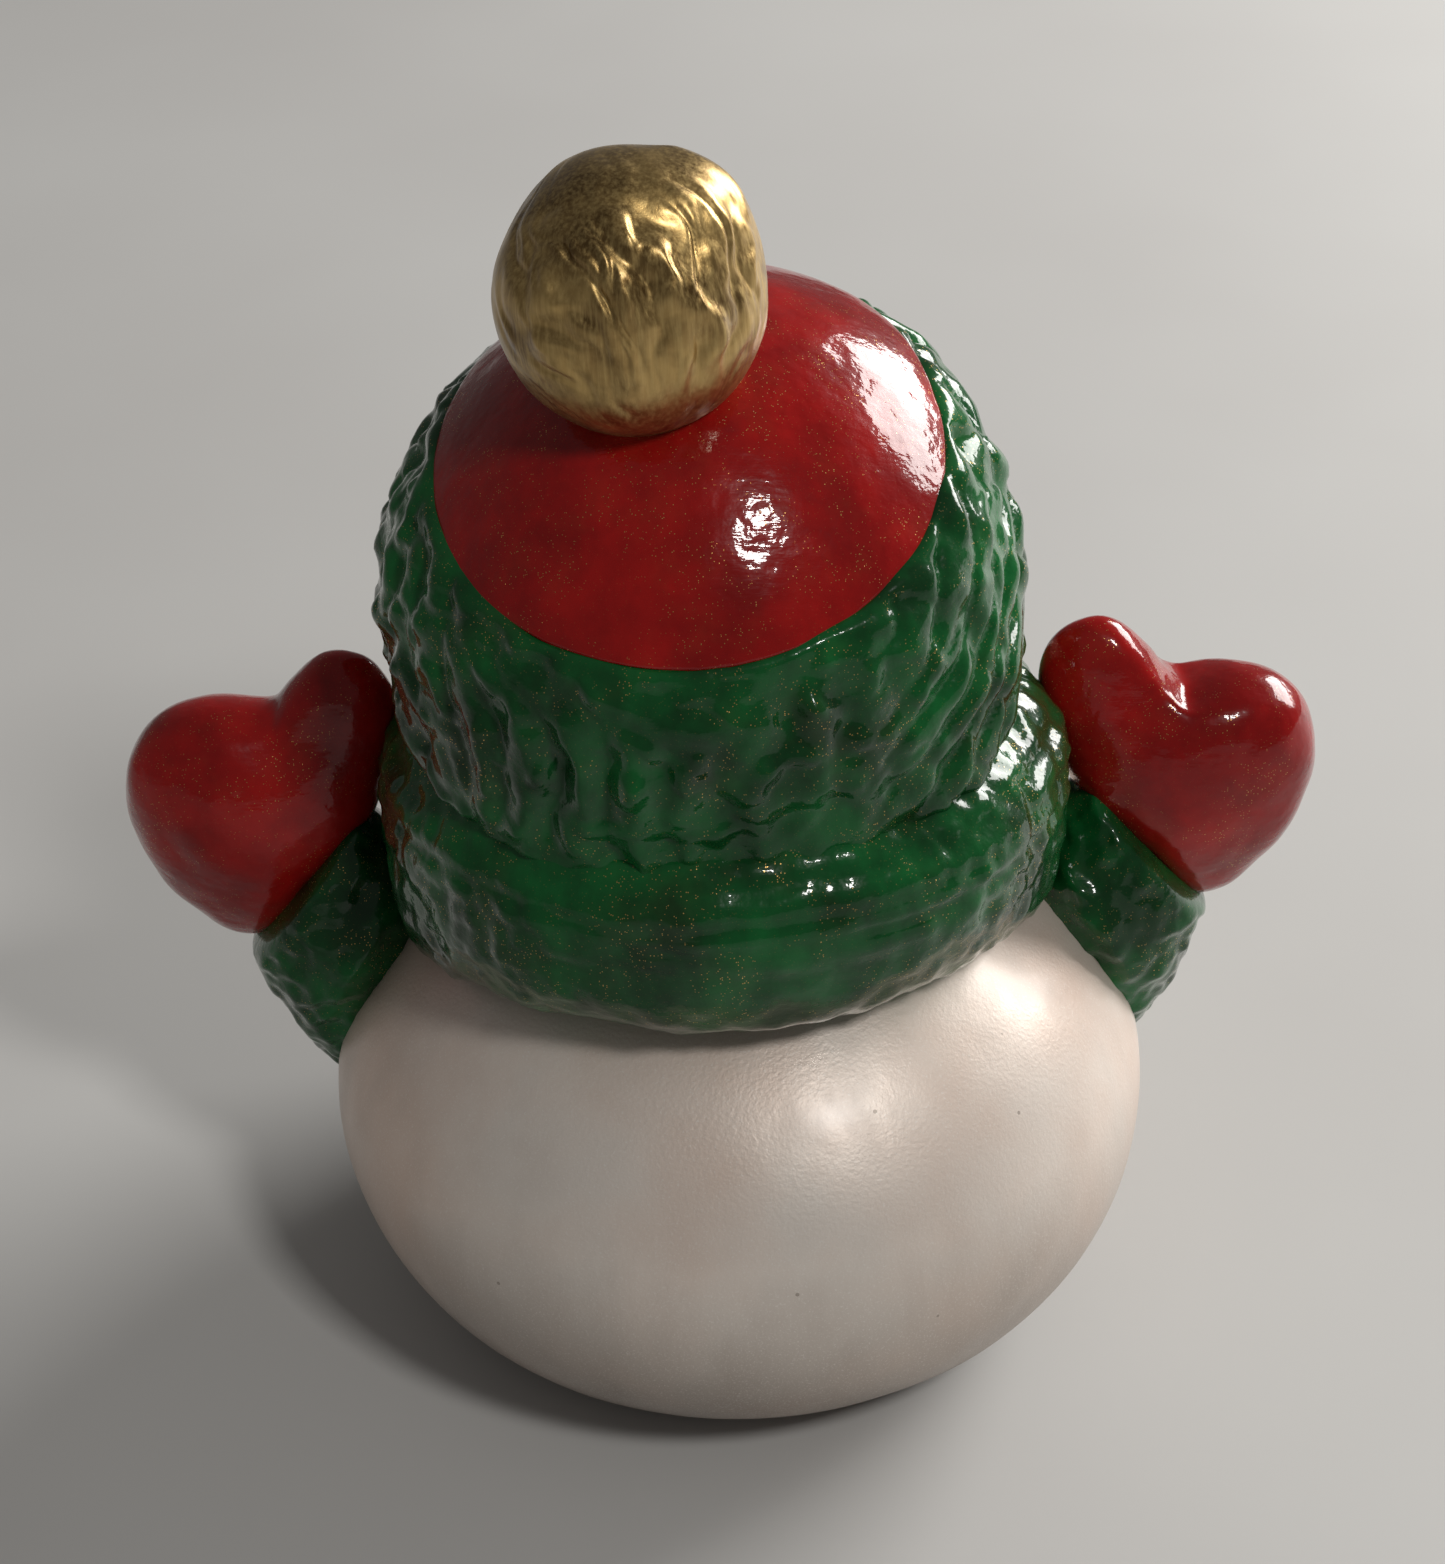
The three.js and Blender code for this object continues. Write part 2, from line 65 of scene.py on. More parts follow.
# The belly's middle and its rise above that are shares of its radius
BELLY_HEIGHT = 0.562 * BELLY
BELLY_RISE = 0.7493 * BELLY
BODY_TOP = BELLY_HEIGHT + BELLY_RISE
HEAD_RADIUS = (head_high.x - head_low.x) / 2
HEAD = Vector(((head_low.x + head_high.x) / 2, 0, head_high.z - HEAD_RADIUS))
CUFF_RADIUS = width_of("hat_cuff") / 2
CROWN_RADIUS = CUFF_RADIUS - 0.6 * MM
SCARF_RADIUS = (scarf_high.x - scarf_low.x) / 2
POMPOM_RADIUS = width_of("pompom") / 2 + 0.1 * MM
POMPOM_TALLER = 1.05
POMPOM = Vector(
    (
        (pompom_low.x + pompom_high.x) / 2,
        pompom_high.y - POMPOM_RADIUS,
        pompom_high.z - POMPOM_TALLER * POMPOM_RADIUS,
    )
)


# ---------------------------------------------------------------- small helpers


def clamp(value, low=0.0, high=1.0):
    return max(low, min(high, value))


def smooth_step(low, high, value):
    share = clamp((value - low) / (high - low))
    return share * share * (3 - 2 * share)


def mix(a, b, share):
    return a + (b - a) * share


def hump(value, centre, width):
    """One at the centre, falling to nothing on both sides."""
    return math.exp(-(((value - centre) / width) ** 2))


def wander(point, size, seed=0.0):
    """Smooth lumps of about the given size, from -1 to 1."""
    return noise.noise(point / size + Vector((seed, 2.3 * seed, -seed)))


def ridge(value):
    """Narrow valleys at whole numbers, with a round back between them."""
    return abs(math.sin(math.pi * value)) ** 0.55


def soft_ridge(value):
    """Like ridge, with wide soft valleys."""
    return math.sin(math.pi * value) ** 2


def rounded_end(share, reach):
    """Grows from nothing to one like a quarter of a circle, over the given reach."""
    return math.sqrt(clamp(1 - (1 - min(1.0, share / reach)) ** 2))


def squarer(value, power):
    """Pushes a value between -1 and 1 outwards, which makes a round section squarer."""
    return math.copysign(abs(value) ** power, value)


def ring_wander(turn, size, seed):
    """Smooth variation along a ring, which meets itself again after one turn."""
    return noise.noise(Vector((size * math.cos(turn), size * math.sin(turn), seed)))


def tipped(back, left):
    """The direction of up, after tipping it back and to the figure's left by degrees."""
    return Vector((math.tan(math.radians(left)), math.tan(math.radians(back)), 1)).normalized()


def turn_difference(a, b):
    """The signed angle from b to a, between -pi and pi."""
    return (a - b + math.pi) % (2 * math.pi) - math.pi


# ---------------------------------------------------------------- closed forms to be shaped

WELD_GAP = 1e-7
# The hoop's radius before it is shaped, where its section has a radius of one
HOOP_RADIUS = 3.0


def finished(name, mesh):
    """Makes an object of the mesh, welded, smooth and facing out."""
    bmesh.ops.remove_doubles(mesh, verts=mesh.verts, dist=WELD_GAP)
    bmesh.ops.recalc_face_normals(mesh, faces=mesh.faces)
    if mesh.calc_volume(signed=True) < 0:
        bmesh.ops.reverse_faces(mesh, faces=mesh.faces)
    for face in mesh.faces:
        face.smooth = True
    data = bpy.data.meshes.new(name)
    mesh.to_mesh(data)
    mesh.free()
    piece = bpy.data.objects.new(name, data)
    bpy.context.scene.collection.objects.link(piece)
    return piece


def from_ball(name, fineness, shape):
    """Pulls a ball into a form: shape(direction) says where each point goes."""
    mesh = bmesh.new()
    bmesh.ops.create_icosphere(mesh, subdivisions=fineness, radius=1)
    for vertex in mesh.verts:
        vertex.co = shape(vertex.co.normalized())
    return finished(name, mesh)


def from_hoop(name, around, across, shape):
    """Pulls a hoop into a form: shape(turn, section) says where each point goes."""
    upright = Matrix.Rotation(math.pi / 2, 3, "X")
    mesh = bmesh.new()
    bmesh.ops.create_circle(mesh, segments=across, radius=1)
    bmesh.ops.rotate(mesh, verts=mesh.verts, cent=(0, 0, 0), matrix=upright)
    bmesh.ops.translate(mesh, verts=mesh.verts, vec=(HOOP_RADIUS, 0, 0))
    bmesh.ops.spin(
        mesh,
        geom=mesh.verts[:] + mesh.edges[:],
        cent=(0, 0, 0),
        axis=(0, 0, 1),
        angle=2 * math.pi,
        steps=around,
        use_merge=True,
    )
    for vertex in mesh.verts:
        turn = math.atan2(vertex.co.y, vertex.co.x)
        section = math.atan2(vertex.co.z, math.hypot(vertex.co.x, vertex.co.y) - HOOP_RADIUS)
        vertex.co = shape(turn, section)
    return finished(name, mesh)


def from_lobe(name, around, along, shape):
    """Pulls a ball with poles into a long form: shape(turn, share) with share 0 to 1 from pole to pole."""
    mesh = bmesh.new()
    bmesh.ops.create_uvsphere(mesh, u_segments=around, v_segments=along, radius=1)
    for vertex in mesh.verts:
        share = math.acos(clamp(vertex.co.z, -1, 1)) / math.pi
        turn = math.atan2(vertex.co.y, vertex.co.x)
        vertex.co = shape(turn, share)
    return finished(name, mesh)


def along_path(stops, share):
    """Blends rows of [share, value, value, ...] smoothly at the given share."""
    last = len(stops) - 1
    row = 0
    while row < last - 1 and share > stops[row + 1][0]:
        row += 1
    before, low = stops[max(row - 1, 0)], stops[row]
    high, after = stops[row + 1], stops[min(row + 2, last)]
    span = high[0] - low[0]
    part = clamp((share - low[0]) / span)
    values = []
    for column in range(1, len(low)):
        rise = high[column] - low[column]
        leave = (high[column] - before[column]) / (high[0] - before[0]) * span
        arrive = (after[column] - low[column]) / (after[0] - low[0]) * span
        bend = 3 * rise - 2 * leave - arrive + part * (leave + arrive - 2 * rise)
        values.append(low[column] + part * (leave + part * bend))
    return values


# ---------------------------------------------------------------- node helpers


def node_tree(name):
    finish = bpy.data.materials.new(name)
    finish.use_nodes = True
    tree = finish.node_tree
    tree.nodes.clear()
    return finish, tree


def add(tree, kind, inputs=None, **settings):
    """Adds a node. An input is a number, a colour or the socket that feeds it."""
    made = tree.nodes.new(kind)
    for key, value in settings.items():
        setattr(made, key, value)
    for key, value in (inputs or {}).items():
        if isinstance(value, bpy.types.NodeSocket):
            tree.links.new(value, made.inputs[key])
        else:
            made.inputs[key].default_value = value
    return made


def place(tree):
    return add(tree, "ShaderNodeTexCoord").outputs["Object"]


def lumps(tree, where, size, detail=2.0, rough=0.5, warp=0.0):
    made = add(
        tree,
        "ShaderNodeTexNoise",
        {"Vector": where, "Scale": 1 / size, "Detail": detail, "Roughness": rough, "Distortion": warp},
    )
    return made.outputs["Fac"]


def stretched(tree, where, scale, turn=(0, 0, 0)):
    made = add(tree, "ShaderNodeMapping", {"Vector": where, "Scale": scale, "Rotation": turn})
    return made.outputs["Vector"]


def between(tree, value, low, high, to_low=0.0, to_high=1.0):
    made = add(
        tree,
        "ShaderNodeMapRange",
        {"Value": value, "From Min": low, "From Max": high, "To Min": to_low, "To Max": to_high},
    )
    return made.outputs["Result"]


def sums(tree, kind, a, b):
    """Works out a and b with one of the kinds of sum that the program knows."""
    made = add(tree, "ShaderNodeMath", {0: a, 1: b}, operation=kind)
    return made.outputs[0]


def blended(tree, share, a, b):
    made = add(tree, "ShaderNodeMix", {0: share, 6: a, 7: b}, data_type="RGBA")
    return made.outputs[2]


def bumped(tree, height, depth, strength=1.0, under=None):
    inputs = {"Height": height, "Distance": depth, "Strength": strength}
    if under is not None:
        inputs["Normal"] = under
    return add(tree, "ShaderNodeBump", inputs).outputs["Normal"]


def painted(tree, inputs):
    shader = add(tree, "ShaderNodeBsdfPrincipled", inputs)
    add(tree, "ShaderNodeOutputMaterial", {"Surface": shader.outputs["BSDF"]})


def flakes(tree, where, size, share):
    """Glitter: a few cells of the given size, each with its own tilt. Gives a mask and a tilt."""
    cells = add(tree, "ShaderNodeTexVoronoi", {"Vector": where, "Scale": 1 / size, "Randomness": 1.0})
    pick = add(tree, "ShaderNodeSeparateColor", {"Color": cells.outputs["Color"]})
    chosen = sums(tree, "GREATER_THAN", pick.outputs["Red"], 1 - share)
    close = sums(tree, "LESS_THAN", cells.outputs["Distance"], FLAKE_REACH)
    return sums(tree, "MULTIPLY", chosen, close), pick.outputs["Green"]


# ---------------------------------------------------------------- finishes

PEARL_WARM = (0.72, 0.57, 0.48, 1)
PEARL_PALE = (0.82, 0.745, 0.675, 1)
PEARL_WORN = (0.58, 0.49, 0.43, 1)
# Painted shade: the dark colour that the pearl paint is blended towards near the foot
PEARL_PAINTED_SHADE = (0.18, 0.135, 0.105, 1)
MICA = (0.90, 0.87, 0.83, 1)
DARK_SPECK = (0.20, 0.15, 0.11, 1)
GREEN_DEEP = (0.003, 0.034, 0.008, 1)
GREEN_BRIGHT = (0.005, 0.112, 0.024, 1)
RED_DEEP = (0.20, 0.003, 0.003, 1)
RED_BRIGHT = (0.36, 0.006, 0.005, 1)
GLITTER = (0.70, 0.43, 0.14, 1)
GLITTER_HAZE = (0.30, 0.16, 0.05, 1)
GOLD_DARK = (0.15, 0.086, 0.026, 1)
GOLD_WARM = (0.50, 0.33, 0.12, 1)
GOLD_BRIGHT = (0.68, 0.49, 0.20, 1)
FLESH = (0.72, 0.40, 0.28, 1)
BLUSH = (0.80, 0.33, 0.24, 1)
TABLE_DULL = (0.54, 0.53, 0.515, 1)
TABLE_PALE = (0.58, 0.575, 0.56, 1)
# How far a flake of glitter reaches from the middle of its cell, as a share of the cell
FLAKE_REACH = 0.36
# Painted shade: the pearl's colour is darkened from the foot up to this height, standing in for the shade
# near the table
PAINTED_SHADE_UNTIL = 26 * MM


def pearl_paint():
    finish, tree = node_tree("pearl_paint")
    where = place(tree)
    cloud = lumps(tree, where, 22 * MM, 3, 0.55)
    streak = lumps(tree, stretched(tree, where, (1, 1, 0.35)), 5 * MM, 4, 0.6)
    mica = lumps(tree, where, 0.16 * MM, 2, 0.6)
    warm = blended(tree, between(tree, cloud, 0.35, 0.65), PEARL_WARM, PEARL_PALE)
    wear_and_shade = blended(tree, between(tree, streak, 0.45, 0.8, 0, 0.35), warm, PEARL_WORN)
    # Painted shade: the colour darkens towards the foot, in patches, where shade falls near the table;
    # before this the mix holds only the worn streaks
    height = add(tree, "ShaderNodeSeparateXYZ", {"Vector": where}).outputs["Z"]
    shade_towards_foot = between(tree, height, 0.0, PAINTED_SHADE_UNTIL, 1.05, 0.0)
    patchy = between(tree, cloud, 0.3, 0.7, -0.2, 0.1)
    painted_shade = between(tree, sums(tree, "ADD", shade_towards_foot, patchy), 0.0, 1.0)
    wear_and_shade = blended(tree, painted_shade, wear_and_shade, PEARL_PAINTED_SHADE)
    colour = blended(tree, between(tree, mica, 0.56, 0.74, 0, 0.45), wear_and_shade, MICA)
    specks, _ = flakes(tree, where, 0.45 * MM, 0.0006)
    colour = blended(tree, sums(tree, "MULTIPLY", specks, 0.55), colour, DARK_SPECK)
    peel = lumps(tree, where, 0.34 * MM, 2, 0.5)
    brush = lumps(tree, stretched(tree, where, (1, 1, 0.12), (0.5, 0.25, 0)), 0.5 * MM, 3, 0.6)
    normal = bumped(tree, peel, 0.035 * MM, 0.8)
    normal = bumped(tree, brush, 0.03 * MM, 0.35, normal)
    normal = bumped(tree, mica, 0.012 * MM, 0.6, normal)
    painted(
        tree,
        {
            "Base Color": colour,
            "Metallic": 0.32,
            "Roughness": between(tree, streak, 0.3, 0.7, 0.42, 0.55),
            "Coat Weight": 0.26,
            "Coat Roughness": 0.2,
            "Normal": normal,
        },
    )
    return finish


def glitter_gloss(name, deep, bright, flake_size, flake_share, haze_share, peel_depth):
    """Clear gloss over a cloudy colour, with drifts of glitter and a fine golden haze in it."""
    finish, tree = node_tree(name)
    where = place(tree)
    cloud = lumps(tree, where, 9 * MM, 4, 0.6)
    thin = lumps(tree, stretched(tree, where, (1, 1, 0.4)), 2.2 * MM, 3, 0.6)
    colour = blended(tree, between(tree, cloud, 0.38, 0.66), deep, bright)
    colour = blended(tree, between(tree, thin, 0.5, 0.85, 0, 0.5), colour, deep)
    drift = between(tree, lumps(tree, where, 5 * MM, 4, 0.65), 0.46, 0.62, 0.05, 1.0)
    mask, tilt = flakes(tree, where, flake_size, flake_share)
    mask = sums(tree, "MULTIPLY", mask, drift)
    haze = sums(tree, "MULTIPLY", sums(tree, "MULTIPLY", drift, drift), haze_share)
    colour = blended(tree, haze, colour, GLITTER_HAZE)
    colour = blended(tree, mask, colour, GLITTER)
    peel = lumps(tree, where, 0.9 * MM, 2, 0.5)
    puddle = lumps(tree, where, 3.2 * MM, 2, 0.5)
    sweep = lumps(tree, stretched(tree, where, (0.12, 1, 1), (0.2, 0.1, 0.3)), 0.45 * MM, 2, 0.6)
    normal = bumped(tree, puddle, 0.24 * MM, 0.6)
    normal = bumped(tree, peel, peel_depth, 0.8, normal)
    normal = bumped(tree, sweep, 0.035 * MM, 0.5, normal)
    flake_normal = bumped(tree, sums(tree, "MULTIPLY", tilt, mask), 0.05 * MM, 1.0, normal)
    painted(
        tree,
        {
            "Base Color": colour,
            "Metallic": sums(tree, "MULTIPLY", mask, 0.9),
            "Roughness": between(tree, mask, 0, 1, 0.26, 0.34),
            "Specular IOR Level": 0.08,
            "Coat Weight": 0.78,
            "Coat Roughness": 0.04,
            "Coat IOR": 1.38,
            "Normal": flake_normal,
            "Coat Normal": normal,
        },
    )
    return finish


def brushed_gold():
    finish, tree = node_tree("brushed_gold")
    where = place(tree)
    cloud = lumps(tree, where, 5 * MM, 4, 0.6)
    bristle = lumps(tree, stretched(tree, where, (1, 1, 0.07), (0.35, -0.2, 0.3)), 0.35 * MM, 3, 0.65)
    sweep = lumps(tree, stretched(tree, where, (1, 0.1, 1), (0.2, 0.1, 0.9)), 0.5 * MM, 3, 0.6)
    dark = blended(tree, between(tree, cloud, 0.35, 0.65), GOLD_DARK, GOLD_WARM)
    colour = blended(tree, between(tree, bristle, 0.4, 0.7, 0, 0.55), dark, GOLD_BRIGHT)
    normal = bumped(tree, bristle, 0.035 * MM, 0.6)
    normal = bumped(tree, sweep, 0.04 * MM, 0.35, normal)
    painted(
        tree,
        {
            "Base Color": colour,
            "Metallic": 0.92,
            "Roughness": between(tree, bristle, 0.3, 0.7, 0.30, 0.46),
            "Coat Weight": 0.25,
            "Coat Roughness": 0.2,
            "Normal": normal,
        },
    )
    return finish


def flesh_gloss():
    finish, tree = node_tree("flesh_gloss")
    where = place(tree)
    blush = lumps(tree, where, 6 * MM, 3, 0.55)
    colour = blended(tree, between(tree, blush, 0.38, 0.64), FLESH, BLUSH)
    peel = lumps(tree, where, 0.8 * MM, 2, 0.5)
    painted(
        tree,
        {
            "Base Color": colour,
            "Roughness": 0.35,
            "Coat Weight": 0.9,
            "Coat Roughness": 0.06,
            "Subsurface Weight": 0.05,
            "Normal": bumped(tree, peel, 0.04 * MM, 0.7),
        },
    )
    return finish


def pale_table():
    finish, tree = node_tree("pale_table")
    where = place(tree)
    cloud = lumps(tree, where, 90 * MM, 3, 0.5)
    colour = blended(tree, between(tree, cloud, 0.3, 0.7), TABLE_DULL, TABLE_PALE)
    painted(tree, {"Base Color": colour, "Roughness": 0.6})
    return finish


# ---------------------------------------------------------------- body

POUR_HOLE = Vector((0, 10 * MM, 0))
POUR_HOLE_RADIUS = 7.5 * MM
POUR_HOLE_DEPTH = 14 * MM
POUR_HOLE_ROUNDING = 0.4 * MM
FOOT_ROUNDING = 0.45 * MM
# The belly sits a little to the figure's right
BELLY_SHIFT = 0.25 * MM
# Swellings and dents left by hand: height in mm, turn, its lean with the level, its half-width,
# and the level from -1 at the foot to 1 at the neck, with its half-width
HAND_MARKS = [
    [-0.35, math.radians(75), 0.0, 0.7, -0.75, 0.35],
    [0.35, math.radians(155), 0.0, 0.5, -0.25, 0.4],
    [0.22, 2.35, 0.9, 0.10, -0.05, 0.3],
    [-0.25, 1.05, -0.5, 0.16, 0.25, 0.25],
]


def on_body(direction):
    """The body's skin: a squat egg with hand-pressed flats, standing on a flat foot."""
    x, y, z = direction
    point = Vector((BELLY * x, BELLY * y, BELLY_HEIGHT + BELLY_RISE * z))
    swell = 0.35 * MM * wander(point, 26 * MM, 3.1) + 0.10 * MM * wander(point, 9 * MM, 8.7)
    turn = math.atan2(y, x)
    for raised, middle, lean, wide, level, tall in HAND_MARKS:
        swell += raised * MM * hump(turn, middle + lean * z, wide) * hump(z, level, tall)
    point += direction * swell
    point.x -= BELLY_SHIFT
    depth = point.z
    if depth < 4 * FOOT_ROUNDING:
        point.z = FOOT_ROUNDING * math.log1p(math.exp(depth / FOOT_ROUNDING))
    if depth < -FOOT_ROUNDING:
        point.z = 0
        from_hole = math.hypot(point.x - POUR_HOLE.x, point.y - POUR_HOLE.y)
        low, high = POUR_HOLE_RADIUS - POUR_HOLE_ROUNDING, POUR_HOLE_RADIUS + POUR_HOLE_ROUNDING
        inside = smooth_step(high, low, from_hole)
        point.z = POUR_HOLE_DEPTH * inside
    return point


def make_body():
    return from_ball("body", 7, on_body)


# ---------------------------------------------------------------- scarf

SCARF_THICK = 8.8 * MM
SCARF_RING = SCARF_RADIUS - SCARF_THICK
SCARF_TALL = 8.3 * MM
SCARF_MIDDLE = BODY_TOP + 5.6 * MM
SCARF_TILT = math.radians(4.5)
# Where the scarf's lower edge lies on the body: radius and height, behind and beside the neck
SCARF_FOOT_REAR = (20.9 * MM, 41.5 * MM)
SCARF_FOOT_SIDE = (26.0 * MM, 37.5 * MM)
# How suddenly the lower edge steps out, beside the neck on the figure's left and right
FOOT_STEP_LEFT = 4.2
FOOT_STEP_RIGHT = 9
# A fold that runs along the scarf: degrees above its middle, half-width in degrees, height in mm
SCARF_FOLDS = [[34, 6, -0.40], [14, 4, -0.45], [0, 3.5, -0.36], [-14, 4, -0.25]]
SCARF_RIBS = 4.6


def scarf_folds(turn, section, point):
    """Height of the folds and soft stitches on the scarf."""
    low = math.degrees(section)
    bands = 0.0
    for centre, width, raised in SCARF_FOLDS:
        drift = 6 * ring_wander(turn, 2.2, centre)
        strength = 0.75 + 0.9 * ring_wander(turn, 3.1, centre + 9)
        bands += raised * strength * hump(low, centre + drift, width)
    side = smooth_step(0.25, 0.7, abs(math.cos(turn)))
    ribs = 0.16 * side * (ridge(turn * SCARF_RIBS + 0.5 * wander(point, 9 * MM, 1.7)) - 0.7)
    lumpy = 0.42 * wander(point, 7 * MM, 4.4) + 0.30 * wander(point, 2.6 * MM, 6.1)
    stitches = (0.08 + 0.22 * side) * wander(point, 1.4 * MM, 2.9)
    return (bands + ribs + lumpy + stitches) * MM


def on_scarf(turn, section):
    outward = Vector((math.cos(turn), math.sin(turn), 0))
    side = abs(math.cos(turn)) ** (FOOT_STEP_LEFT if outward.x > 0 else FOOT_STEP_RIGHT)
    foot_radius = mix(SCARF_FOOT_REAR[0], SCARF_FOOT_SIDE[0], side)
    foot_height = mix(SCARF_FOOT_REAR[1], SCARF_FOOT_SIDE[1], side)
    foot_height += 0.5 * MM * wander(outward * 30 * MM, 9 * MM, 9.0)
    level, lift = math.cos(section), math.sin(section)
    tilt = math.tan(SCARF_TILT)
    if section >= 0:
        radius = SCARF_RING + SCARF_THICK * level
        height = SCARF_TALL * lift + tilt * radius * outward.y
    else:
        inner = SCARF_RADIUS if level > 0 else SCARF_RING - SCARF_THICK
        radius = foot_radius + (inner - foot_radius) * abs(level) ** 0.85
        height = (foot_height - SCARF_MIDDLE) * abs(lift) ** 1.1 + tilt * radius * outward.y * (1 + lift)
    point = outward * radius + UP * (SCARF_MIDDLE + height)
    face = (outward * level + UP * lift * 0.8).normalized()
    edge = smooth_step(-0.2, 0.1, level)
    return point + face * (scarf_folds(turn, section, point) - 0.1 * MM) * edge


def make_scarf():
    return from_hoop("scarf_roll", 360, 96, on_scarf)


# ---------------------------------------------------------------- cap

CROWN_AXIS = tipped(22, 2.2)
BRIM_AXIS = tipped(8, 0)
SEAM_ANGLE = math.radians(49.2)
BRIM_ANGLE = math.acos(-8 * MM * BRIM_AXIS.z / CUFF_RADIUS)
CUFF_LINING = HEAD_RADIUS - 0.6 * MM
CUFF_RIBS = 35
CUFF_FLARE = 1.3 * MM
CUFF_FRONT_THINNER = 0.8 * MM
# The knitting's heights in mm: ribs behind, plaits on the figure's right, wrinkles on its left
RIB_HEIGHT = 1.15
DRIP_HEIGHT = 0.22
PLAIT_HEIGHT = 0.72
TWIST_HEIGHT = 0.50
WRINKLE_HEIGHT = 0.5
KNOB_HEIGHT = 0.9
# Where the head isn't quite round: height in mm, direction, half-width
HEAD_SWELLS = [
    [0.75, Vector((-0.64, -0.44, 0.63)), 0.55],
    [-0.75, Vector((-0.98, 0.05, 0.10)), 0.50],
    [-0.60, Vector((0.96, 0.10, -0.25)), 0.40],
]


def elevation_on_circle(turn, axis, angle):
    """Elevation at which a line of longitude crosses the circle at an angle from a tipped axis."""
    level = axis.x * math.cos(turn) + axis.y * math.sin(turn)
    reach = math.hypot(level, axis.z)
    return math.atan2(axis.z, level) - math.acos(clamp(math.cos(angle) / reach, -1, 1))


def knitting(turn, share, point):
    """Height of the knitted ribs on the cuff; share runs from the brim to the seam."""
    rear = turn_difference(turn, math.pi / 2)
    right = smooth_step(0.30, 0.85, rear)
    left = smooth_step(0.40, 0.95, -rear)
    middle = (1 - right) * (1 - left)
    sway = 0.34 * wander(point, 8 * MM, 2.2) + 0.14 * wander(point, 3 * MM, 5.2)

    column = CUFF_RIBS * turn / (2 * math.pi) + sway
    patch = 0.75 + 1.2 * wander(point, 6 * MM, 3.3)
    low_end = 0.11 + 0.06 * noise.noise(Vector((column * 0.9, 0.3, 0)))
    high_end = 0.74 + 0.20 * noise.noise(Vector((column * 0.8, 4.3, 0)))
    within = smooth_step(low_end - 0.07, low_end + 0.11, share)
    within *= smooth_step(high_end + 0.1, high_end - 0.1, share)
    ribs = RIB_HEIGHT * patch * within * (soft_ridge(column) - 0.7)
    drips = DRIP_HEIGHT * soft_ridge(column) * hump(share, low_end + 0.05, 0.06)

    climb = 4.3 * (share - 0.5) - 0.45 * math.sin(2 * math.pi * (share + 0.1))
    plait = CUFF_RIBS * 0.72 * turn / (2 * math.pi) - climb + 1.3 * sway
    crest = ridge(plait)
    twist = ridge(6.5 * share + 0.8 * (plait % 1) + 1.5 * sway)
    strands = PLAIT_HEIGHT * (crest - 0.72) + TWIST_HEIGHT * (twist - 0.7) * crest

    wrinkles = 0.45 * wander(point, 2.6 * MM, 7.7) + WRINKLE_HEIGHT * (ridge(column) - 0.8)
    lumpy = 0.62 * wander(point, 6 * MM, 1.1) + 0.42 * wander(point, 2.4 * MM, 8.1)
    knobs = KNOB_HEIGHT * max(0.0, wander(point, 2.1 * MM, 6.6) - 0.12)
    fade = smooth_step(0.0, 0.07, share) * smooth_step(1.0, 0.93, share)
    relief = middle * (ribs + drips) + right * strands + left * wrinkles + (1 - right) * knobs
    return (fade * relief + lumpy * smooth_step(1.0, 0.9, share)) * MM


def head_swell(direction):
    """The head isn't quite round: fuller at the upper right and flatter at the sides."""
    swell = 0.0
    for raised, middle, wide in HEAD_SWELLS:
        swell += raised * hump(direction.angle(middle), 0, wide)
    return swell * MM


def on_cuff(turn, section):
    low = elevation_on_circle(turn, BRIM_AXIS, BRIM_ANGLE)
    hand_drawn = math.radians(0.9) * wander(Vector((math.cos(turn), math.sin(turn), 0)), 0.26, 7.0)
    high = elevation_on_circle(turn, CROWN_AXIS, SEAM_ANGLE + hand_drawn)
    outside = abs(section) <= math.pi / 2
    if outside:
        share = section / math.pi + 0.5
        brim_rounding = 1 - smooth_step(0, 0.07, share)
        seam_rounding = 1 - smooth_step(0, 0.04, 1 - share)
        radius = CUFF_RADIUS - (0.1 + brim_rounding**2 + 0.55 * seam_rounding**2) * MM
    else:
        share = (math.pi - abs(section)) / (math.pi / 2)
        share = 0.5 + 0.5 * share if section > 0 else 0.5 - 0.5 * share
        edge = min(share, 1 - share)
        radius = mix(CUFF_RADIUS - 1.1 * MM, CUFF_LINING, smooth_step(0, 0.05, edge))
    tilt = mix(low, high, share)
    level = math.cos(tilt)
    direction = Vector((level * math.cos(turn), level * math.sin(turn), math.sin(tilt)))
    if outside:
        radius += knitting(turn, share, direction * CUFF_RADIUS) + head_swell(direction)
        radius += CUFF_FLARE * smooth_step(0.32, 0.04, share) * smooth_step(-0.2, 0.5, math.sin(turn))
        radius -= CUFF_FRONT_THINNER * smooth_step(0.2, -0.4, math.sin(turn))
    return HEAD + direction * radius


def make_cuff():
    return from_hoop("cap_cuff", 420, 132, on_cuff)


# The part of the ball, down from its top, that becomes the crown's outside; the rest is its lining
CROWN_OUTSIDE_UNTIL = math.radians(110)


